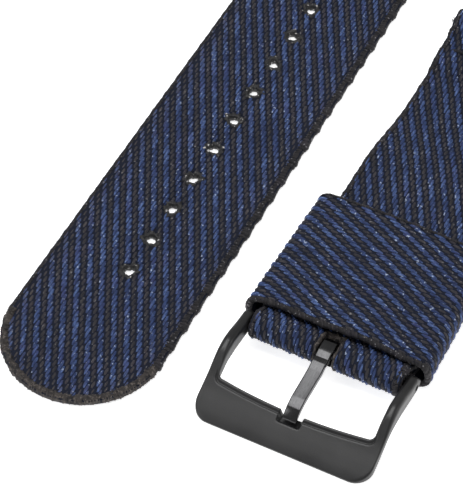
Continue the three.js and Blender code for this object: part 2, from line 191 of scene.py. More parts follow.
across = across * tip_half(along) / HALF_WIDTH
near = holes[np.abs(along[..., None] - holes).argmin(-1)]
off_u, off_s = across, along - near
square = np.maximum(np.abs(off_u), np.abs(off_s))
inside_hole = square < 1.001
rounding = np.where(inside_hole, HOLE_RADIUS * square / np.maximum(np.hypot(off_u, off_s), 1e-6), 1)
across, along = off_u * rounding, near + off_s * rounding
cell_u = (tail_columns[:-1] + tail_columns[1:]) / 2
cell_s = (tail_rows[:-1] + tail_rows[1:]) / 2
cell_y, cell_z = tail_at(cell_s)[:2]
in_hole = (np.abs(cell_s[:, None] - holes).min(1) < 1)[:, None] & (np.abs(cell_u) < 1)
low_side = (np.abs(cell_y - tail_bar[1]) < 1.15) & (cell_z < tail_bar[2])
in_window = low_side[:, None] & (cell_u > lever_u[0]) & (cell_u < lever_u[1])
tail_core = slab("tail_core", tail_place, across, along, ~(in_hole | in_window), CORE)
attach(tail_core, "tail_strap")
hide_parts("tail_webbing")


# ---- Finishes of the webbing -------------------------------------------------------------------------------
# Spun-dyed nylon: navy yarn and black-brown yarn, both of many fine filaments that shine a little along the yarn.
# The ground between the floats is dark cloth painted nearly black, darker than its yarns, as painted shade for the
# valleys between floats. Cut edges are melted to a rough, glassy skin.

def paint(red, green, blue):
    """A display colour of 0 to 255 as the linear light that a shader takes."""
    c = np.array([red, green, blue]) / 255
    return (*np.where(c < 0.04045, c / 12.92, ((c + 0.055) / 1.055) ** 2.4), 1.0)


class Value:
    """A socket's number that can be reckoned with: each operator adds one Math node."""

    def __init__(self, finish, socket):
        self.finish, self.socket = finish, socket

    def _math(self, operation, first, second):
        return self.finish.node("ShaderNodeMath", {"operation": operation}, {0: first, 1: second})

    def __add__(self, other):
        return self._math("ADD", self, other)

    def __sub__(self, other):
        return self._math("SUBTRACT", self, other)

    def __mul__(self, other):
        return self._math("MULTIPLY", self, other)

    __radd__, __rmul__ = __add__, __mul__

    def step(self, start, end):
        """0 below start, 1 above end, smooth between."""
        return self.finish.node("ShaderNodeMapRange", {"interpolation_type": "SMOOTHSTEP"},
                                {0: self, 1: start, 2: end})


class Finish:
    """A material whose principled shader is fed by node()."""

    def __init__(self, name, **constants):
        self.material = bpy.data.materials.new(name)
        self.material.use_nodes = True
        self.nodes, self.links = self.material.node_tree.nodes, self.material.node_tree.links
        self.shader = self.nodes["Principled BSDF"]
        for key, value in constants.items():
            self.shader.inputs[key.replace("_", " ")].default_value = value

    def node(self, kind, settings=(), sockets=(), out=0):
        """Adds a node of a kind, with its settings and the values or links of its sockets, and gives one output."""
        new = self.nodes.new(kind)
        for key, value in dict(settings).items():
            setattr(new, key, value)
        for key, value in dict(sockets).items():
            self.feed(new.inputs[key], value)
        return Value(self, new.outputs[out])

    def feed(self, socket, value):
        if isinstance(value, Value):
            self.links.new(value.socket, socket)
        else:
            socket.default_value = value

    def noise(self, place, scale, detail=2.0, rough=0.5):
        return self.node("ShaderNodeTexNoise", {"noise_dimensions": "3D"},
                         {"Vector": place, "Scale": scale, "Detail": detail, "Roughness": rough})

    def mix(self, factor, first, second):
        return self.node("ShaderNodeMix", {"data_type": "RGBA"}, {0: factor, 6: first, 7: second}, 2)

    def stretched(self, place, *scale):
        return self.node("ShaderNodeVectorMath", {"operation": "MULTIPLY"}, {0: place, 1: scale})

    def bump(self, height, strength, depth):
        sockets = {"Strength": strength, "Distance": depth, "Height": height}
        self.shaded(Normal=self.node("ShaderNodeBump", (), sockets))

    def shaded(self, **sockets):
        for key, value in sockets.items():
            self.feed(self.shader.inputs[key.replace("_", " ")], value)


def yarn_finish(name, deep, middle, light, tint, painted_glint, rough):
    """Filament yarn: colour goes from float to float and along the filaments, with a few pale specks that are painted
    glints, and greys where the end is sealed."""
    f = Finish(name, Specular_IOR_Level=0.45)
    thread = f.node("ShaderNodeUVMap", {"uv_map": "yarn"})
    body = f.node("ShaderNodeTexCoord", out="Object")
    strands = f.noise(f.stretched(thread, 6, 1.3, 1), 1.0, 4.0, 0.7)
    patch = f.noise(body, 420.0, 2.0)
    shade = f.node("ShaderNodeAttribute", {"attribute_name": "shade"}, (), "Fac")
    seal = f.node("ShaderNodeAttribute", {"attribute_name": "seal"}, (), "Fac")
    tone = shade * 0.2 + strands * 1.7 + patch * 0.3 - 0.62
    colour = f.mix(tone.step(0.1, 0.5), deep, middle)
    colour = f.mix(tone.step(0.45, 0.8), colour, light)
    colour = f.mix(patch.step(0.52, 0.68) * 0.35, colour, tint)
    # Pale specks at random spots: painted glints, standing in for the sparkle off single filaments.
    painted_glint_mask = f.noise(body, 2700.0, 1.0).step(0.66, 0.72)
    colour = f.mix(painted_glint_mask * 0.8, colour, painted_glint)
    colour = f.mix(seal * f.noise(body, 2600.0, 3.0).step(0.35, 0.65) * 0.7, colour, paint(88, 80, 76))
    f.shaded(Base_Color=colour, Roughness=rough + strands * 0.25 - painted_glint_mask * 0.2)
    f.bump(strands, 1.0, 0.00018)
    return f.material


# The fifth colour of each yarn is its painted glint.
navy_yarn = yarn_finish("navy_yarn", paint(20, 31, 68), paint(44, 65, 115), paint(108, 136, 194),
                        paint(60, 60, 114), paint(204, 218, 244), 0.42)
black_yarn = yarn_finish("black_yarn", paint(22, 23, 30), paint(50, 48, 54), paint(90, 86, 88),
                         paint(54, 48, 66), paint(150, 148, 150), 0.5)
# Edge yarn, darker than the black yarn: the selvedge's own dark weft, deepened as painted shade for the keeper's
# shaded front edge.
edge_yarn_and_painted_shade = yarn_finish("edge_yarn_and_painted_shade", paint(16, 16, 20), paint(36, 34, 38), paint(70, 66, 68),
                        paint(44, 40, 54), paint(150, 148, 152), 0.55)

ground = Finish("ground_with_painted_shade", Specular_IOR_Level=0.3)
cloth_uv = ground.node("ShaderNodeUVMap", {"uv_map": "yarn"})
picks = ground.noise(ground.stretched(cloth_uv, 2.13, 6.5, 1), 1.0, 2.0)
# Nearly black ground: its own dark colour, deepened as painted shade for the valleys between the floats.
ground.shaded(Base_Color=ground.mix(picks.step(0.3, 0.7), paint(10, 14, 28), paint(24, 31, 50)),
              Roughness=0.75 + picks * 0.2)
ground.bump(picks, 0.8, 0.0001)
ground_with_painted_shade = ground.material
tail_core.data.materials.append(ground_with_painted_shade)


# ---- Tail strap: yarns -------------------------------------------------------------------------------------
# A steep twill: 47 columns of yarn, each going over the ground in floats of 2 mm, navy and black by turns. Every
# column starts its floats a little earlier than the one before, so that they pile up as slanting ribs. The same
# happens on the back. Piece: closed plump floats, ends dipping into the ground.

RIB = 3.58
SLANT = 1.889
YARN = 0.47


def lozenge(rings, sides):
    """Closed plump bar: rings of points round an axis between two end points, its girth by (1 - |t|^4)^0.5. Gives t,
    girth and angle of each point, its quads and its triangles."""
    t = np.sin(np.linspace(-1, 1, rings + 2)[1:-1] * np.pi / 2 * 0.98)
    t = np.concatenate([np.repeat(t, sides), [-1, 1]])
    girth = np.sqrt(1 - np.abs(t) ** 4)
    angle = np.concatenate([np.tile(np.arange(sides), rings) * 2 * np.pi / sides, [0, 0]])
    i, j = np.meshgrid(np.arange(rings - 1), np.arange(sides), indexing="ij")
    k = (j + 1) % sides
    quads = np.stack([i * sides + j, i * sides + k, (i + 1) * sides + k, (i + 1) * sides + j], -1)
    quads = quads.reshape(-1, 4)
    j, k, last, n = np.arange(sides), (np.arange(sides) + 1) % sides, (rings - 1) * sides, rings * sides
    ends = [np.stack([k, j, np.full(sides, n)], 1), np.stack([last + j, last + k, np.full(sides, n + 1)], 1)]
    return t, girth, angle, quads, np.concatenate(ends)


def floats(place, u, s, shape, face, hand, rng, fit, rings=5, sides=6, seal=None):
    """Many floats at once: across by width·sin(angle)·girth, out by base + height·cos(angle)·girth and down at the
    ends by t⁴, and skewed along the rib so that its edges run straight. Gives points, quads, triangles, uv and the
    two shades."""
    length, width, height, base, skew = shape
    t, girth, angle, quads, ends = lozenge(rings, sides)
    n = len(u)
    wild = rng.normal(size=(4, n, 1))
    off = width / 2 * (1 + 0.05 * wild[0]) * np.sin(angle) * girth
    u_all = u[:, None] + 0.02 * wild[2] + off
    run = face * t * length * (1 + 0.04 * wild[0]) / 2
    s_all = s[:, None] + 0.04 * wild[1] + run - hand * skew * SLANT * off
    h_all = base + height * (1 + 0.1 * wild[3]) * np.cos(angle) * girth - 0.2 * t ** 4
    if seal is not None:
        melt = seal(u, s)[:, None]
        h_all = h_all * (1 - 0.22 * melt)
    u_all, s_all = fit(u_all, s_all)
    points = np.stack(place(u_all, s_all, face * h_all), -1).reshape(-1, 3)
    first = np.arange(n)[:, None, None] * len(t)
    uv = np.stack([width * angle / 2 + u[:, None] * 7.3, s_all + u[:, None] * 3.1], -1).reshape(-1, 2)
    shade = np.repeat(rng.random(n), len(t))
    sealed = np.repeat(seal(u, s), len(t)) if seal is not None else np.zeros(n * len(t))
    return points, (quads + first).reshape(-1, 4), (ends + first).reshape(-1, 3), uv, shade, sealed


def joined(parts):
    """One set of points, quads, triangles, uv and shades out of several."""
    shift = np.cumsum([0] + [len(p[0]) for p in parts[:-1]])
    cat = np.concatenate
    return (cat([p[0] for p in parts]), cat([p[1] + k for p, k in zip(parts, shift)]),
            cat([p[2] + k for p, k in zip(parts, shift)]), *(cat([p[i] for p in parts]) for i in (3, 4, 5)))


def twill(half, length, hand, start):
    """Column and distance along of every float that starts its rib at a share of the pitch."""
    u = np.arange(-half + YARN / 2, half, YARN)
    k = np.arange(-int(SLANT * half / RIB) - 2, int((length + SLANT * half) / RIB) + 2)
    u, k = (a.ravel() for a in np.meshgrid(u, k))
    return u, RIB * (k + start) - hand * SLANT * u


def tail_fit(u, s):
    """Keeps yarn inside the outline and outside the melted ring of each hole."""
    s = np.clip(s, 0.35, tail_length - 0.1)
    most = tip_half(s) - 0.3
    u = np.clip(u, -most, most)
    middle = s.mean(1, keepdims=True)
    near = holes[np.abs(middle - holes).argmin(1)][:, None]
    reach = np.sqrt(np.maximum(0, 1.2 ** 2 - u ** 2))
    side = np.where(middle > near, 1, -1)
    hit = (reach > 0) & ((s - near) * side < reach)
    return u, np.where(hit, near + side * reach, s)


def tail_seal(u, s):
    """1 at the sealed round end, fading out 2.5 mm inside it."""
    rim = HALF_WIDTH - np.hypot(u, np.minimum(s, HALF_WIDTH) - HALF_WIDTH)
    return np.clip(1.25 - rim / 2.5, 0, 1)


def tail_floats(start, shape, seed):
    rng = np.random.default_rng(seed)
    u, s = twill(10.8, tail_length, 1, start)
    near = holes[np.abs(s[:, None] - holes).argmin(-1)]
    clear = np.hypot(u, s - near) > 1.1
    y, z = tail_at(s)[:2]
    window = (np.abs(y - tail_bar[1]) < 1.5) & (z < tail_bar[2])
    window &= (u > lever_u[0] - 0.2) & (u < lever_u[1] + 0.2)
    on = (np.abs(u) < tip_half(s) - 0.2) & (s > 0.5) & (s < tail_length - 0.4) & clear & ~window
    face = floats(tail_place, u[on], s[on], shape, 1, 1, rng, tail_fit, seal=tail_seal)
    back = on & (s < tail_length - 23)
    rear = floats(tail_place, u[back], s[back] + RIB / 2, shape, -1, 1, rng, tail_fit, 3, 4, tail_seal)
    return joined([face, rear])


def yarn_piece(name, material, parts, body):
    points, quads, ends, uv, shade, sealed = parts
    thing = made(name, resting(points), quads, ends, uv=uv, shade=shade, seal=sealed)
    thing.data.materials.append(material)
    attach(thing, body)
    return thing


NAVY_FLOAT = (1.95, 0.47, 0.31, 0.32, 0.65)
BLACK_FLOAT = (1.45, 0.44, 0.26, 0.30, 0.45)
tail_navy = yarn_piece("tail_navy_yarns", navy_yarn, tail_floats(0.25, NAVY_FLOAT, 11), "tail_strap")
tail_black = yarn_piece("tail_black_yarns", black_yarn, tail_floats(0.75, BLACK_FLOAT, 12), "tail_strap")


# ---- Tail strap: edges -------------------------------------------------------------------------------------
# Along both sides the weft yarn turns round the outermost columns in small tight loops, which make the edge softly
# scalloped. The round end and the turned-under end are cut hot, so the yarns are run together in a rough bead.

def tube(place, centre, radii, sides, closed=False):
    """Tube round a line in the flat cloth: centre is (u, s, h) and radii the half sizes across and out, for every
    station; an open tube is closed by drawing its ends in."""
    u, s, h = centre
    du, ds = np.gradient(u), np.gradient(s)
    size = np.maximum(np.hypot(du, ds), 1e-9)
    angle = np.arange(sides) * 2 * np.pi / sides
    wide, tall = (np.broadcast_to(r, u.shape) for r in radii)
    u = u[:, None] + (wide * ds / size)[:, None] * np.cos(angle)
    s = s[:, None] - (wide * du / size)[:, None] * np.cos(angle)
    h = h[:, None] + tall[:, None] * np.sin(angle)
    stations = len(u)
    points = np.stack(place(u, s, h), -1).reshape(-1, 3)
    count = stations if closed else stations - 1
    i, j = np.meshgrid(np.arange(count), np.arange(sides), indexing="ij")
    n, k = (i + 1) % stations, (j + 1) % sides
    quads = np.stack([i * sides + j, n * sides + j, n * sides + k, i * sides + k], -1).reshape(-1, 4)
    return points, quads


def edge_loops(place, side, s, edge, rng, reach=0.62):
    """Loops of weft round one edge: each goes half round the edge from top to underside, leaning along the strap,
    thick in its middle; the edge swells once for every rib and a little at the half."""
    t, girth, angle, quads, ends = lozenge(6, 6)
    n = len(s)
    wild = rng.normal(size=(3, n, 1))
    turn = t * 1.9
    swell = (0.10 + 0.06 * side) * np.cos(2 * np.pi * s / RIB) + 0.06 * np.cos(4 * np.pi * s / RIB + 1)
    out = reach * (1 + swell[:, None]) + 0.015 * wild[0] + 0.13 * girth * np.cos(angle)
    u = side * (edge - reach + out * (1.25 * np.cos(turn) - 0.05))
    h = (0.3 + 0.4 * out) * np.sin(turn)
    s_all = s[:, None] + 0.04 * wild[1] - side * 0.3 * t + 0.36 * (1 + 0.08 * wild[2]) * girth * np.sin(angle)
    points = np.stack(place(u, s_all, h), -1).reshape(-1, 3)
    first = np.arange(n)[:, None, None] * len(t)
    if side > 0:
        quads, ends = quads[:, ::-1], ends[:, ::-1]
    uv = np.stack([0.3 * angle + s[:, None] * 5.1, 1.1 * t + s[:, None] * 2.7], -1).reshape(-1, 2)
    shade = np.repeat(rng.random(n), len(t)) * 0.8
    return points, (quads + first).reshape(-1, 4), (ends + first).reshape(-1, 3), uv, shade, np.zeros(n * len(t))


tail_rng = np.random.default_rng(21)
tail_loop_s = np.arange(10.6, tail_length - 0.4, RIB / 7)
tail_edges = yarn_piece("tail_edge_loops", edge_yarn_and_painted_shade, joined([
    edge_loops(tail_place, 1, tail_loop_s, 11.0, tail_rng),
    edge_loops(tail_place, -1, tail_loop_s, 11.0, tail_rng, 0.34)]), "tail_strap")

melt = Finish("melted_nylon", Specular_IOR_Level=0.5)
melt_body = melt.node("ShaderNodeTexCoord", out="Object")
crust = melt.noise(melt_body, 2600.0, 5.0, 0.65)
cloud = melt.noise(melt_body, 700.0, 2.0)
melt_colour = melt.mix(cloud.step(0.35, 0.65), paint(34, 32, 35), paint(72, 66, 63))
melt_colour = melt.mix(crust.step(0.5, 0.66) * 0.8, melt_colour, paint(128, 119, 113))
melt.shaded(Base_Color=melt_colour, Roughness=0.35 + crust * 0.6)
melt.bump(crust, 1.0, 0.0004)
melted_nylon = melt.material


def bead(name, place, u, s, wide, tall, seed, body, closed=False, sides=10):
    """A melted bead: a tube along a line in the cloth, its girth uneven by a few slow and quick waves."""
    rng = np.random.default_rng(seed)
    far = np.concatenate([[0], np.cumsum(np.hypot(np.diff(u), np.diff(s)))])
    waves = ((0.06, 1.3), (0.07, 3.7), (0.06, 8.9), (0.07, 17))
    uneven = sum(a * np.sin(far * f + rng.random() * 6.3) for a, f in waves)
    draw = np.ones_like(far) if closed else np.clip(np.minimum(far, far[-1] - far) / 0.3, 0.02, 1) ** 0.5
    girth = (wide * (1 + uneven) * draw, tall * (1 + 0.6 * uneven) * draw)
    points, quads = tube(place, (u, s, 0.03 * np.sin(far * 5)), girth, sides, closed)
    points = resting(points + 0.05 * rng.normal(size=points.shape))
    faces = [quads]
    if not closed:
        last = len(points) - sides
        faces.append(np.array([np.arange(sides)]))
        faces.append(np.array([last + np.arange(sides)[::-1]]))
    thing = made(name, points, *faces)
    thing.data.materials.append(melted_nylon)
    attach(thing, body)
    return thing


def rim(name, place, u, s, steps, wide, tall, seed, body):
    """A closed bead round an oblong opening, from u[0] to u[1] and from s[0] to s[1]."""
    step = np.linspace(0, 4, steps, endpoint=False)
    ring_u = np.interp(step, range(5), [u[0], u[1], u[1], u[0], u[0]])
    ring_s = np.interp(step, range(5), [s[0], s[0], s[1], s[1], s[0]])
    return bead(name, place, ring_u, ring_s, wide, tall, seed, body, True, 8)


TIP_BEAD = HALF_WIDTH - 0.5
round_end = np.radians(np.linspace(182, 358, 420))
tail_tip = bead("tail_sealed_tip", tail_place, TIP_BEAD * np.cos(round_end),
                HALF_WIDTH + TIP_BEAD * np.sin(round_end), 0.62, 0.66, 31, "tail_strap", sides=14)
cut_u = np.linspace(-10.7, 10.7, 120)
cut_s = np.full(120, tail_length - 0.25)
tail_cut = bead("tail_sealed_cut", tail_place, cut_u, cut_s, 0.35, 0.5, 32, "tail_strap")
window_s = tail_length - FOLD_BACK + np.array([-1.2, 1.2])
tail_window = rim("tail_window_rim", tail_place, lever_u, window_s, 96, 0.28, 0.5, 33, "tail_strap")

# Each hole is punched with a hot pin, which leaves a smooth ring of molten nylon on both faces.
RING_SIDES = 14
RING_STEPS = 40
ring_part = np.radians(np.linspace(0, 360, RING_SIDES, endpoint=False))
ring_out = 1.06 + 0.38 * np.cos(ring_part)
ring_up = 0.6 * np.sign(np.sin(ring_part)) * np.abs(np.sin(ring_part)) ** 0.6
turn = np.radians(np.linspace(0, 360, RING_STEPS, endpoint=False))
hole_rng = np.random.default_rng(41)
hole_points, hole_quads = [], []
i, j = np.meshgrid(np.arange(RING_STEPS), np.arange(RING_SIDES), indexing="ij")
this, after, k = i * RING_SIDES, (i + 1) % RING_STEPS * RING_SIDES, (j + 1) % RING_SIDES
ring_quads = np.stack([this + j, after + j, after + k, this + k], -1).reshape(-1, 4)
for number, middle in enumerate(holes):
    lumps = sum(0.06 * np.sin(k * turn + hole_rng.random() * 6.3) for k in (2, 3, 5, 9, 13))[:, None]
    away = ring_out * (1 + lumps * 1.3)
    ring_u, ring_s = away * np.cos(turn)[:, None], middle + away * np.sin(turn)[:, None]
    hole_points.append(np.stack(tail_place(ring_u, ring_s, ring_up * (1 + lumps)), -1).reshape(-1, 3))
    hole_quads.append(ring_quads + number * RING_SIDES * RING_STEPS)
tail_rims = made("tail_hole_rims", resting(np.concatenate(hole_points)), np.concatenate(hole_quads))
glass = Finish("hole_melt_and_painted_glints", Specular_IOR_Level=0.6)
glass_grain = glass.noise(glass.node("ShaderNodeTexCoord", out="Object"), 1900.0, 4.0, 0.6)
hole_melt_and_painted_glint_colour = glass.mix(glass_grain.step(0.45, 0.65), paint(6, 6, 8), paint(30, 29, 32))
# White specks at random spots on the dark melt: painted glints.
hole_melt_and_painted_glint_colour = glass.mix(glass_grain.step(0.62, 0.66), hole_melt_and_painted_glint_colour, paint(220, 218, 216))
glass.shaded(Base_Color=hole_melt_and_painted_glint_colour, Roughness=0.2 + glass_grain * 0.4)
glass.bump(glass_grain, 1.0, 0.0003)
tail_rims.data.materials.append(glass.material)
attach(tail_rims, "tail_strap")


# ---- Buckle strap ------------------------------------------------------------------------------------------
# The shorter strap, of the same webbing. It starts inside the keeper, runs forward under itself, goes round the
# buckle's bar with a slot for the tang, comes back over, leaves the keeper and ends round the second lug bar. It
# has crept sideways in the keeper, so it leaves it a little off the buckle's middle.

frame_low, frame_high = span("buckle_frame")
strap_mid = (frame_low[0] + frame_high[0]) / 2
bar = sum(span("buckle_bar_tube")) / 2
lug_bar = sum(span("lug_bar_tube")) / 2
lower_z, upper_z = bar[2] - 1.5, bar[2] - 0.2
strap_length, strap_at = run_of(
    ease([bar[1] + 27, lower_z], [bar[1] + 3.6, lower_z], 9), arc(bar[1], bar[2], 1.45, 270, 94, 18),
    ease([bar[1] + 0.4, bar[2] + 1.41], [bar[1] + 3.4, upper_z], 6),
    ease([bar[1] + 7, upper_z], [bar[1] + 24, upper_z], 7),
    ease([bar[1] + 32, upper_z], [bar[1] + 46, web_z], 8),
    *lug_fold(lug_bar[1], lug_bar[2], web_z))
DRIFT = sum(span("lug_fold_seam"))[0] / 2 - strap_mid


def smooth(x):
    """0 below 0, 1 above 1, and 3x² - 2x³ between."""
    x = np.clip(x, 0, 1)
    return x * x * (3 - 2 * x)


def strap_place(u, s, h):
    """Point of the buckle strap: drawn in a little at the bar, drifting aside under the keeper, then on to the lug."""
    y, z, ny, nz = strap_at(s)
    pinch = 0.964 + 0.036 * smooth((y - bar[1] - 2) / 2.5)
    aside = 0.9 * smooth((y - bar[1] - 8) / 16) + 0.1 * smooth((y - bar[1] - 20) / 40)
    return strap_mid + u * pinch + DRIFT * aside, y + ny * h, z + nz * h


SLOT = 1.5
probe = np.linspace(0, strap_length, 4000)
probe_y, probe_z = strap_at(probe)[:2]
slot_s = probe[(probe_y < bar[1] + 2.4)][[0, -1]]
lug_low_side = probe[(np.abs(probe_y - lug_bar[1]) < 1.15) & (probe_z < lug_bar[2])][[0, -1]]
lever_from, lever_to = span("lug_bar_lever")
lug_lever = np.array([lever_from[0] - 1.6, lever_to[0] + 0.4]) - strap_mid - DRIFT
strap_rows = np.unique(np.round(np.concatenate([
    np.linspace(0, slot_s[0], 16), np.linspace(*slot_s, 60), np.linspace(slot_s[1], lug_low_side[0], 150),
    np.linspace(*lug_low_side, 8), np.linspace(lug_low_side[1], strap_length, 12)]), 4))
strap_columns = np.unique(np.concatenate([
    np.linspace(-11, -SLOT, 8), np.linspace(-SLOT, SLOT, 4), np.linspace(SLOT, lug_lever[0], 4),
    np.linspace(*lug_lever, 4), np.linspace(lug_lever[1], 11, 4)]))
across, along = np.meshgrid(strap_columns, strap_rows)
cell_u = (strap_columns[:-1] + strap_columns[1:]) / 2
cell_s = ((strap_rows[:-1] + strap_rows[1:]) / 2)[:, None]
in_slot = (np.abs(cell_u) < SLOT) & (cell_s > slot_s[0]) & (cell_s < slot_s[1])
in_window = ((cell_u > lug_lever[0]) & (cell_u < lug_lever[1])
             & (cell_s > lug_low_side[0]) & (cell_s < lug_low_side[1]))
strap_core = slab("strap_core", strap_place, across, along, ~(in_slot | in_window), CORE)
strap_core.data.materials.append(ground_with_painted_shade)
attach(strap_core, "buckle_strap")
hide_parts("buckle_webbing")


def strap_fit(u, s):
    """Keeps yarn inside the strap and out of the tang's slot."""
    s = np.clip(s, 0.1, strap_length - 0.1)
    u = np.clip(u, -10.7, 10.7)
    near_slot = (s > slot_s[0] - 0.25) & (s < slot_s[1] + 0.25)
    side = np.where(u < 0, -1, 1)
    return np.where(near_slot & (np.abs(u) < SLOT + 0.2), side * (SLOT + 0.2), u), s


def strap_floats(start, shape, seed):
    rng = np.random.default_rng(seed)
    u, s = twill(10.8, strap_length, 1, start)
    slot = (np.abs(u) < SLOT + 0.1) & (s > slot_s[0] - 0.9) & (s < slot_s[1] + 0.9)
    window = ((u > lug_lever[0] - 0.2) & (u < lug_lever[1] + 0.2)
              & (s > lug_low_side[0] - 0.9) & (s < lug_low_side[1] + 0.9))
    on = (s > 0.5) & (s < strap_length - 0.5) & ~slot & ~window
    face = floats(strap_place, u[on], s[on], shape, 1, 1, rng, strap_fit)
    y = strap_at(s)[0]
    single = (s > 60) | ((s > 40) & (y > bar[1] + 26))
    back = on & single & (y < lug_bar[1] - 8) & (s < strap_length - 12)
    rear = floats(strap_place, u[back], s[back] + RIB / 2, shape, -1, 1, rng, strap_fit, 3, 4)
    return joined([face, rear])


strap_navy = yarn_piece("strap_navy_yarns", navy_yarn, strap_floats(0.25, NAVY_FLOAT, 51), "buckle_strap")
strap_black = yarn_piece("strap_black_yarns", black_yarn, strap_floats(0.75, BLACK_FLOAT, 52), "buckle_strap")
strap_rng = np.random.default_rng(53)
strap_loop_s = np.arange(0.5, strap_length - 0.4, RIB / 7)
strap_edges = yarn_piece("strap_edge_loops", edge_yarn_and_painted_shade, joined([
    edge_loops(strap_place, 1, strap_loop_s, 11.0, strap_rng),
    edge_loops(strap_place, -1, strap_loop_s, 11.0, strap_rng, 0.5)]), "buckle_strap")
strap_cuts = [
    bead("strap_sealed_cut_front", strap_place, cut_u, np.full(120, 0.25), 0.35, 0.5, 61, "buckle_strap"),
    bead("strap_sealed_cut_rear", strap_place, cut_u, np.full(120, strap_length - 0.25), 0.35, 0.5, 62,
         "buckle_strap"),
    rim("strap_slot_rim", strap_place, (-SLOT, SLOT), slot_s, 160, 0.28, 0.52, 63, "buckle_strap"),
    rim("strap_window_rim", strap_place, lug_lever, lug_low_side, 96, 0.28, 0.5, 64, "buckle_strap")]


# ---- Keeper ------------------------------------------------------------------------------------------------
# A loose loop of the same cloth, 21 mm wide, that holds the tail's end down. Its two ends meet under the strap and
# are sewn there. Its weave runs across the band and slants the other way. The loop opens towards the buckle.

keeper_low, keeper_high = span("keeper")
keeper_mid = (keeper_low[1] + keeper_high[1]) / 2
KEEPER_WIDE = keeper_high[1] - keeper_low[1]
KEEPER_SIDE = 12.3
KEEPER_TOP = 4.22
KEEPER_CORE = 0.3
crown_x = np.linspace(-9.8, 9.8, 30)
keeper_line = np.concatenate([
    [[-0.05, 0.5]],
    arc(-KEEPER_SIDE + 1.3, 1.8, 1.3, 270, 180, 8),
    arc(-KEEPER_SIDE + 1.7, KEEPER_TOP - 1.7, 1.7, 180, 96, 8),
    np.stack([crown_x, KEEPER_TOP + 0.36 * (1 - (crown_x / 10.6) ** 2)], 1),
    arc(KEEPER_SIDE - 1.7, KEEPER_TOP - 1.7, 1.7, 84, 0, 8),
    arc(KEEPER_SIDE - 1.3, 1.8, 1.3, 0, -90, 8),
    [[0.05, 0.5]]])
keeper_length, keeper_at = run_of(keeper_line)


def keeper_place(u, s, h):
    """Point of the keeper: it widens by 3.5% and rises by half a millimetre from its rear to its front edge, which
    runs in a slow wave."""
    x, z, nx, nz = keeper_at(s)
    x, z = x + nx * h, z + nz * h
    t = 0.5 + u / KEEPER_WIDE
    lift = np.clip((z - 1) / 2.75, 0, 1)
    sway = 0.14 * np.sin(s * 0.55 + 0.8) * t
    return strap_mid + x * (1 + 0.035 * t), keeper_mid - u - sway, z + 0.5 * t * lift


keeper_half = KEEPER_WIDE / 2
across, along = np.meshgrid(np.linspace(-keeper_half, keeper_half, 15), np.linspace(0, keeper_length, 170))
keeper_core = slab("keeper_core", keeper_place, across, along, np.ones((169, 14), bool), KEEPER_CORE)
keeper_core.data.materials.append(ground_with_painted_shade)
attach(keeper_core, "keeper_loop")
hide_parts("keeper")


def keeper_fit(u, s):
    return np.clip(u, 0.3 - keeper_half, keeper_half - 0.3), np.clip(s, 0.1, keeper_length - 0.1)


def keeper_floats(start, shape, seed):
    rng = np.random.default_rng(seed)
    u, s = twill(keeper_half - 0.3, keeper_length, -1, start)
    on = (s > 0.4) & (s < keeper_length - 0.4)
    return floats(keeper_place, u[on], s[on], shape, 1, -1, rng, keeper_fit)


keeper_navy = yarn_piece("keeper_navy_yarns", navy_yarn,
                         keeper_floats(0.25, (1.95, 0.47, 0.29, 0.21, 0.65), 71), "keeper_loop")
keeper_black = yarn_piece("keeper_black_yarns", black_yarn,
                          keeper_floats(0.75, (1.45, 0.44, 0.24, 0.19, 0.45), 72), "keeper_loop")
keeper_rng = np.random.default_rng(73)
keeper_loop_s = np.arange(0.4, keeper_length - 0.3, RIB / 7)
keeper_edges = yarn_piece("keeper_edge_loops", edge_yarn_and_painted_shade, joined([
    edge_loops(keeper_place, side, keeper_loop_s, keeper_half, keeper_rng, 0.34)
    for side in (1, -1)]), "keeper_loop")


# ---- Seams -------------------------------------------------------------------------------------------------
# Lock-stitched rows of bonded black thread, one across each fold and one where the keeper's ends meet. Each stitch
# shows as a short rounded bar on both faces, and dips into the webbing at the needle holes.

STITCHES = 8


def seam(name, node, body, half, levels):
    """A row of stitches on each level, as spindles lying across the strap in the middle of the frame's seam."""
    t, girth, angle, quads, ends = lozenge(7, 8)
    middle, y = (sum(span(node)) / 2)[:2]
    pitch = 2 * half / STITCHES
    places = middle - half + pitch * (np.arange(STITCHES) + 0.5)
    points, q, e = [], [], []
    for level, (z, way) in enumerate(levels):
        x = places[:, None] + t * pitch * 0.56
        yy = y + 0.24 * girth * np.sin(angle) + 0 * x
        zz = z + way * (0.2 * girth * np.cos(angle) - 0.25 * t ** 4) + 0 * x
        first = (level * STITCHES + np.arange(STITCHES))[:, None, None] * len(t)
        turned = 1 if way > 0 else -1
        points.append(np.stack([x, yy, zz], -1).reshape(-1, 3))
        q.append((quads[:, ::-turned] + first).reshape(-1, 4))
        e.append((ends[:, ::-turned] + first).reshape(-1, 3))
    points = resting(np.concatenate(points))
    uv = np.stack([points[:, 1] * 3, points[:, 0] * 1.5 + points[:, 1]], 1)
    thing = made(name, points, np.concatenate(q), np.concatenate(e), uv=uv)
    thing.data.materials.append(seam_thread)
    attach(thing, body)
    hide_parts(node)
    return thing


thread = Finish("seam_thread", Specular_IOR_Level=0.45)
ply = thread.node("ShaderNodeTexWave", {"wave_type": "BANDS", "bands_direction": "DIAGONAL"},
                  {"Vector": thread.node("ShaderNodeUVMap", {"uv_map": "yarn"}), "Scale": 1.6, "Distortion": 1.0})
thread.shaded(Base_Color=thread.mix(ply, paint(18, 18, 22), paint(52, 52, 60)), Roughness=0.4 + ply * 0.2)
thread.bump(ply, 0.8, 0.0001)
seam_thread = thread.material

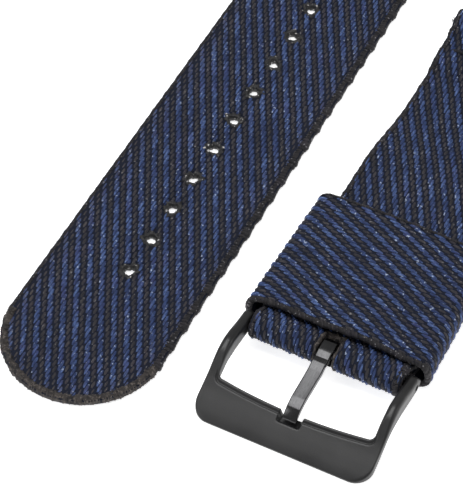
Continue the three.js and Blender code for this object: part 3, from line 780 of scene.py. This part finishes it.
fold_low, fold_high = span("buckle_fold_seam")
seam("tail_stitches", "tail_seam", "tail_strap", 9.4, ((2.48, 1), (0.04, -1)))
seam("lug_fold_stitches", "lug_fold_seam", "buckle_strap", 9.4, ((2.48, 1), (0.04, -1)))
seam("buckle_fold_stitches", "buckle_fold_seam", "buckle_strap", 9.4, ((fold_high[2], 1), (fold_low[2], -1)))
seam("keeper_stitches", "keeper_seam", "keeper_loop", 7.6, ((0.8, 1), (0.08, -1)))


# ---- Buckle frame ------------------------------------------------------------------------------------------
# A U of die-cast metal with a matte black coat: two arched arms with round ends for the bar, and a broad front
# plate that slopes to the table, with a notch for the tang. Every edge is well rounded.

LUG_RADIUS = 1.3
front_y = frame_low[1]
lug_y, lug_z = bar[1], bar[2]


def blended(rows, y):
    """Height at y on a smooth line through rows of (distance before the bar, height), softened over 0.7 mm."""
    rows = np.array(rows)[::-1]
    fine = np.linspace(-1, 17, 721)
    z = np.interp(fine, rows[::-1, 0], rows[::-1, 1])
    kernel = np.exp(-0.5 * (np.arange(-32, 33) * 0.025 / 0.3) ** 2)
    z = np.convolve(np.pad(z, 32, "edge"), kernel / kernel.sum(), "valid")
    return np.interp(lug_y - y, fine, z)


def lugged(rows, y, side):
    """The blended line, led into the round lug end in the last millimetre: side is 1 above and -1 below the bar."""
    lug = lug_z + side * np.sqrt(np.maximum(0, LUG_RADIUS ** 2 - (y - lug_y) ** 2))
    step = lug_z + side * LUG_RADIUS - blended(rows, lug_y)
    return np.where(y > lug_y, lug, blended(rows, y) + step * np.clip(1 - (lug_y - y), 0, 1))


def frame_top(y):
    """Upper side of arms and plate: round over the bar, arched, then falling in a long slope."""
    rows = [(0, 4.5), (1.7, 4.75), (3.6, 5.25), (5.4, 5.45), (7.0, 5.02), (8.3, 4.12), (9.6, 3.12),
            (11.2, 2.3), (12.8, 1.55), (14.2, 0.86), (14.8, 0.5), (15, 0.3)]
    return lugged(rows, y, 1)


def frame_under(y):
    """Under side of arms and plate: round under the bar, hollow under the arch, flat at the front edge."""
    rows = [(0, 1.9), (1.8, 2.15), (4.5, 2.5), (7.2, 2.5), (8.6, 2.1), (9.8, 1.5), (11, 0.8),
            (12.2, 0.2), (13.3, 0), (15, 0)]
    return lugged(rows, y, -1)


# Outer and inner outline of half the U, from the middle of the plate to the end of the arm.
plate = np.unique(np.concatenate([np.linspace(0, 2.2, 36), np.linspace(2.2, 10.2, 26)]))
bend = np.linspace(0, np.pi / 2, 18)[1:]
arm = np.linspace(0, 1, 40)[1:]
lug_turn = np.sin(np.linspace(0, np.pi / 2, 12))[1:]
arm_y = np.concatenate([front_y + 6 + (lug_y - front_y - 6) * arm, lug_y + LUG_RADIUS * lug_turn])
inner_x = np.concatenate([plate, 10.2 + 0.7 * np.sin(bend), np.full(len(arm_y), 10.9)])
inner_y = np.concatenate([front_y + 4.72 + 0.58 * (plate / 10.2) ** 2, front_y + 6 - 0.7 * np.cos(bend),
                          arm_y])
outer_x = np.concatenate([plate / 10.2 * 9.9, 9.9 + 2.5 * np.sin(bend), np.full(len(arm_y), 12.4)])
outer_y = np.concatenate([np.full(len(plate), front_y), front_y + 2.5 - 2.5 * np.cos(bend),
                          arm_y - 3.5 * (1 - smooth((arm_y - front_y - 6) / 4))])
outline_x = np.stack([inner_x, outer_x])
outline_y = np.stack([inner_y, outer_y])
outline_x = np.concatenate([-outline_x[:, :0:-1], outline_x], 1)
outline_y = np.concatenate([outline_y[:, :0:-1], outline_y], 1)

# Section of the U: a rounded loop, a from the inner to the outer outline and b from the under to the upper side.
flat = np.linspace(0, 1, 36) ** 1.6
upright = np.linspace(0, 1, 7)
quarter = np.linspace(0, np.pi / 2, 6)


def frame_points():
    """Carries the rounded loop along the U: corner radius 0.38 mm on the plate and 0.65 mm on the arms, less where
    the metal is thin. The notch is cut down into the plate, and a fine groove runs beside its inner edge."""
    wide = np.hypot(outline_x[1] - outline_x[0], outline_y[1] - outline_y[0])[:, None]
    mid_y = outline_y.mean(0)
    tall = np.maximum(frame_top(mid_y) - frame_under(mid_y), 0.02)[:, None]
    round_mm = 0.38 + 0.27 * smooth((mid_y - front_y - 5) / 3)[:, None]
    ra = np.minimum(round_mm / wide, 0.49)
    loops_a, loops_b = [], []
    for ca, cb, start in ((1, 1, 0), (0, 1, 1), (0, 0, 2), (1, 0, 3)):
        turn_a, turn_b = np.cos(quarter + start * np.pi / 2), np.sin(quarter + start * np.pi / 2)
        rb = np.minimum(round_mm / tall, 0.49)
        loops_a.append(ca + ra * (turn_a - (1 if ca else -1)))
        loops_b.append(cb + rb * (turn_b - (1 if cb else -1)))
        if start in (0, 2):
            inner = flat[1:-1] if start == 2 else flat[-2:0:-1]
            loops_a.append(ra + (1 - 2 * ra) * inner)
            loops_b.append(np.full((len(ra), 34), float(cb)))
        else:
            rise = upright[1:-1] if start == 3 else 1 - upright[1:-1]
            loops_b.append(rb + (1 - 2 * rb) * rise)
            loops_a.append(np.full((len(ra), 5), float(ca)))
    a, b = np.concatenate(loops_a, 1), np.concatenate(loops_b, 1)
    x = outline_x[0][:, None] + a * (outline_x[1] - outline_x[0])[:, None]
    y = outline_y[0][:, None] + a * (outline_y[1] - outline_y[0])[:, None]
    high, low = frame_top(y), frame_under(y)
    cut = smooth((1.72 - np.abs(x)) / 0.5) * smooth((y - front_y - 3.0) / 0.5)
    high = high - (high - 1.55) * cut * (high > 1.55)
    groove = np.exp(-((a * wide - 0.62) / 0.17) ** 2) * smooth((front_y + 6 - y) / 0.8)
    high = high - 0.16 * groove * (1 - cut)
    return strap_mid + x, y, low + b * np.maximum(high - low, 0)


def skinned(name, points, way):
    """A closed body over rings of points, capped at both ends; way is -1 where the rings run the other way round."""
    x, y, z = points
    stations, around = x.shape
    i, j = np.meshgrid(np.arange(stations - 1), np.arange(around), indexing="ij")
    this, after, k = i * around, (i + 1) * around, (j + 1) % around
    corners = [this + j, this + k, after + k, after + j]
    if way < 0:
        corners = [corners[0], *corners[:0:-1]]
    first, last = np.arange(around)[None], (stations - 1) * around + np.arange(around)[None]
    return made(name, np.stack([x, y, z], -1).reshape(-1, 3), np.stack(corners, -1).reshape(-1, 4),
                first[:, ::-way], last[:, ::way])


buckle_frame = skinned("buckle_frame_cast", frame_points(), 1)

# The bar's holes through both round ends.
BORE_RADIUS = 0.5
bore_turn = np.linspace(0, 2 * np.pi, 24, endpoint=False)
bore_x = np.array([strap_mid - 15, strap_mid + 15])[:, None] + 0 * bore_turn
bore_y = lug_y + BORE_RADIUS * np.cos(bore_turn) + 0 * bore_x
bore = skinned("bore", (bore_x, bore_y, lug_z + BORE_RADIUS * np.sin(bore_turn) + 0 * bore_x), 1)
drill = buckle_frame.modifiers.new("bore", "BOOLEAN")
drill.object = bore
drill.operation = "DIFFERENCE"
drill.solver = "EXACT"
drilled = bpy.data.meshes.new_from_object(buckle_frame.evaluated_get(bpy.context.evaluated_depsgraph_get()))
buckle_frame.modifiers.clear()
buckle_frame.data = drilled
bpy.data.objects.remove(bore)

coat = Finish("black_coat", Specular_IOR_Level=0.5)
coat_body = coat.node("ShaderNodeTexCoord", out="Object")
pebble = coat.noise(coat_body, 5200.0, 3.0, 0.6)
handled = coat.noise(coat_body, 190.0, 3.0, 0.55)
coat_colour = coat.mix(handled.step(0.35, 0.7), paint(24, 24, 25), paint(32, 32, 33))
coat.shaded(Base_Color=coat_colour, Roughness=0.26 + handled * 0.14 + pebble * 0.08)
coat.bump(pebble, 0.25, 0.00003)
buckle_frame.data.materials.clear()
buckle_frame.data.materials.append(coat.material)
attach(buckle_frame, "frame")
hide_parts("buckle_frame")


# ---- Tang --------------------------------------------------------------------------------------------------
# A bent strip of steel 1.9 mm wide: rolled round the bar, out through the slot, flat along and bent down into the
# notch. It is polished in flats, so each of its faces takes its own tone.

tang_low, tang_high = span("buckle_tang")
TANG_HALF = (tang_high[0] - tang_low[0]) / 2
tang_arm = np.array([[-1.2, 4.42, 0.85], [-2.0, 4.10, 0.9], [-2.9, 4.12, 0.95], [-3.9, 3.72, 0.98],
                     [-8.7, 3.50, 0.92], [-10.0, 3.12, 0.84], [-11.05, 2.45, 0.66], [-11.25, 2.2, 0.5]])
eye = np.concatenate([arc(0, bar[2], 1.26, -150, 90, 30), [[-0.6, bar[2] + 1.24]]])
tang_line = np.concatenate([np.column_stack([eye, np.full(len(eye), 0.84)]), tang_arm])


def tang_points():
    """A rounded oblong, 1.9 mm by the strip's thickness, carried along rows of distance from the bar, height and
    thickness; stations stand in pairs close beside each bend, so that the flats stay flat."""
    near, far = [], []
    for row, after in zip(tang_line[:-1], tang_line[1:]):
        gap = np.hypot(*(after - row)[:2])
        share = min(0.3, 0.1 / gap)
        near += [row + (after - row) * share, after - (after - row) * share]
    line = np.array([tang_line[0], *near, tang_line[-1]])
    way = np.gradient(line[:, :2], axis=0)
    way /= np.hypot(way[:, 0], way[:, 1])[:, None]
    round_part = np.linspace(0, np.pi / 2, 5)
    corner_a = np.concatenate([np.cos(round_part + q * np.pi / 2) for q in range(4)])
    corner_b = np.concatenate([np.sin(round_part + q * np.pi / 2) for q in range(4)])
    side_a = np.repeat([1, -1, -1, 1], 5)
    side_b = np.repeat([1, 1, -1, -1], 5)
    radius = 0.13
    half = line[:, 2:3] / 2
    across = side_a * (TANG_HALF - radius) + radius * corner_a + 0 * half
    out = side_b * (half - radius) + radius * corner_b
    y = bar[1] + line[:, 0:1] + out * -way[:, 1:2]
    z = line[:, 1:2] + out * way[:, 0:1]
    return strap_mid + across, y, z


tang = skinned("buckle_tang_strip", tang_points(), -1)
tang.data.set_sharp_from_angle(angle=np.radians(40))

satin = Finish("tang_steel", Metallic=1.0)
satin_body = satin.node("ShaderNodeTexCoord", out="Object")
brushing = satin.noise(satin.stretched(satin_body, 26000, 900, 9000), 1.0, 2.0)
satin.shaded(Base_Color=satin.mix(brushing.step(0.3, 0.7), paint(60, 60, 61), paint(76, 76, 77)),
             Roughness=0.12 + brushing * 0.12)
satin.bump(brushing, 0.15, 0.00002)
tang.data.materials.append(satin.material)
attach(tang, "tang")
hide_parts("buckle_tang")


# ---- Spring bars -------------------------------------------------------------------------------------------
# Turned stainless tubes with a coil spring inside and a pin at each end: one black bar in the buckle, and one
# bright quick-release bar at each lug with a small lever. They are the frame's own solids, in turned and drawn
# finishes.

def turned_finish(name, dark, light, rough):
    """Turned metal: fine rings round the bar's long axis, with uneven oiled patches."""
    f = Finish(name, Metallic=1.0)
    body = f.node("ShaderNodeTexCoord", out="Object")
    rings = f.noise(f.stretched(body, 14000, 300, 300), 1.0, 2.0)
    patch = f.noise(body, 900.0, 3.0)
    f.shaded(Base_Color=f.mix(patch.step(0.3, 0.7), dark, light), Roughness=rough + rings * 0.15 + patch * 0.08)
    f.bump(rings, 0.3, 0.00002)
    return f.material


bar_steel = turned_finish("bar_steel", paint(150, 150, 152), paint(196, 196, 198), 0.2)
black_steel = turned_finish("black_bar_steel", paint(46, 46, 48), paint(70, 70, 73), 0.26)
spring_wire = turned_finish("spring_wire", paint(120, 121, 124), paint(166, 167, 170), 0.24)
for node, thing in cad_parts.items():
    if node.startswith(("tail_bar", "lug_bar", "buckle_bar")):
        plated = black_steel if node.startswith("buckle") else bar_steel
        finish = spring_wire if node.endswith("spring") else plated
        for slot_number in range(len(thing.data.materials)):
            thing.data.materials[slot_number] = finish


# ---- Table, light and camera -------------------------------------------------------------------------------
# A plain pale table under soft studio light, seen from the front and above.

TABLE_Z = -0.05
table_corners = np.array([[-900, -900, TABLE_Z], [900, -900, TABLE_Z], [900, 900, TABLE_Z], [-900, 900, TABLE_Z]])
table = made("table", table_corners, np.array([[0, 1, 2, 3]]))
pale = Finish("pale_table", Roughness=0.9, Specular_IOR_Level=0.1)
pale_grain = pale.noise(pale.node("ShaderNodeTexCoord", out="Object"), 60.0, 2.0)
pale.shaded(Base_Color=pale.mix(pale_grain, (0.93, 0.93, 0.93, 1), (0.96, 0.96, 0.96, 1)))
pale.shader.inputs["Emission Color"].default_value = (1, 1, 1, 1)
pale.shader.inputs["Emission Strength"].default_value = 0.75
table.data.materials.append(pale.material)

world = bpy.data.worlds.new("studio")
bpy.context.scene.world = world
world.use_nodes = True
world.node_tree.nodes["Background"].inputs["Color"].default_value = (1, 1, 1, 1)
world.node_tree.nodes["Background"].inputs["Strength"].default_value = 0.4


def softbox(name, place, target, size, power):
    """A square area light at a place, in metres, turned to a target."""
    data = bpy.data.lights.new(name, "AREA")
    data.shape, data.size, data.energy = "SQUARE", size, power
    lamp = bpy.data.objects.new(name, data)
    bpy.context.scene.collection.objects.link(lamp)
    lamp.location = place
    lamp.rotation_euler = (Vector(target) - Vector(place)).to_track_quat("-Z", "Y").to_euler()


softbox("key", (-0.12, 0.0, 0.6), (0, -0.02, 0), 0.36, 2.0)
softbox("side", (0.5, 0.2, 0.3), (0, -0.02, 0), 0.2, 0.3)
softbox("front", (-0.34, -0.40, 0.42), (0, -0.04, 0), 0.22, 0.45)

camera_data = bpy.data.cameras.new("camera")
camera = bpy.data.objects.new("camera", camera_data)
bpy.context.scene.collection.objects.link(camera)
camera_data.lens = 190.9
camera_data.sensor_width = 36
camera_data.clip_start = 0.01
azimuth, elevation = np.radians(27.2), np.radians(50)
aim = Vector((-0.006551, -0.027178, 0))
back = Vector((np.sin(azimuth) * np.cos(elevation), -np.cos(azimuth) * np.cos(elevation), np.sin(elevation)))
camera.location = aim + back * 0.3468
camera.rotation_euler = (-back).to_track_quat("-Z", "Y").to_euler()
bpy.context.scene.camera = camera
bpy.context.scene.view_settings.view_transform = "Standard"
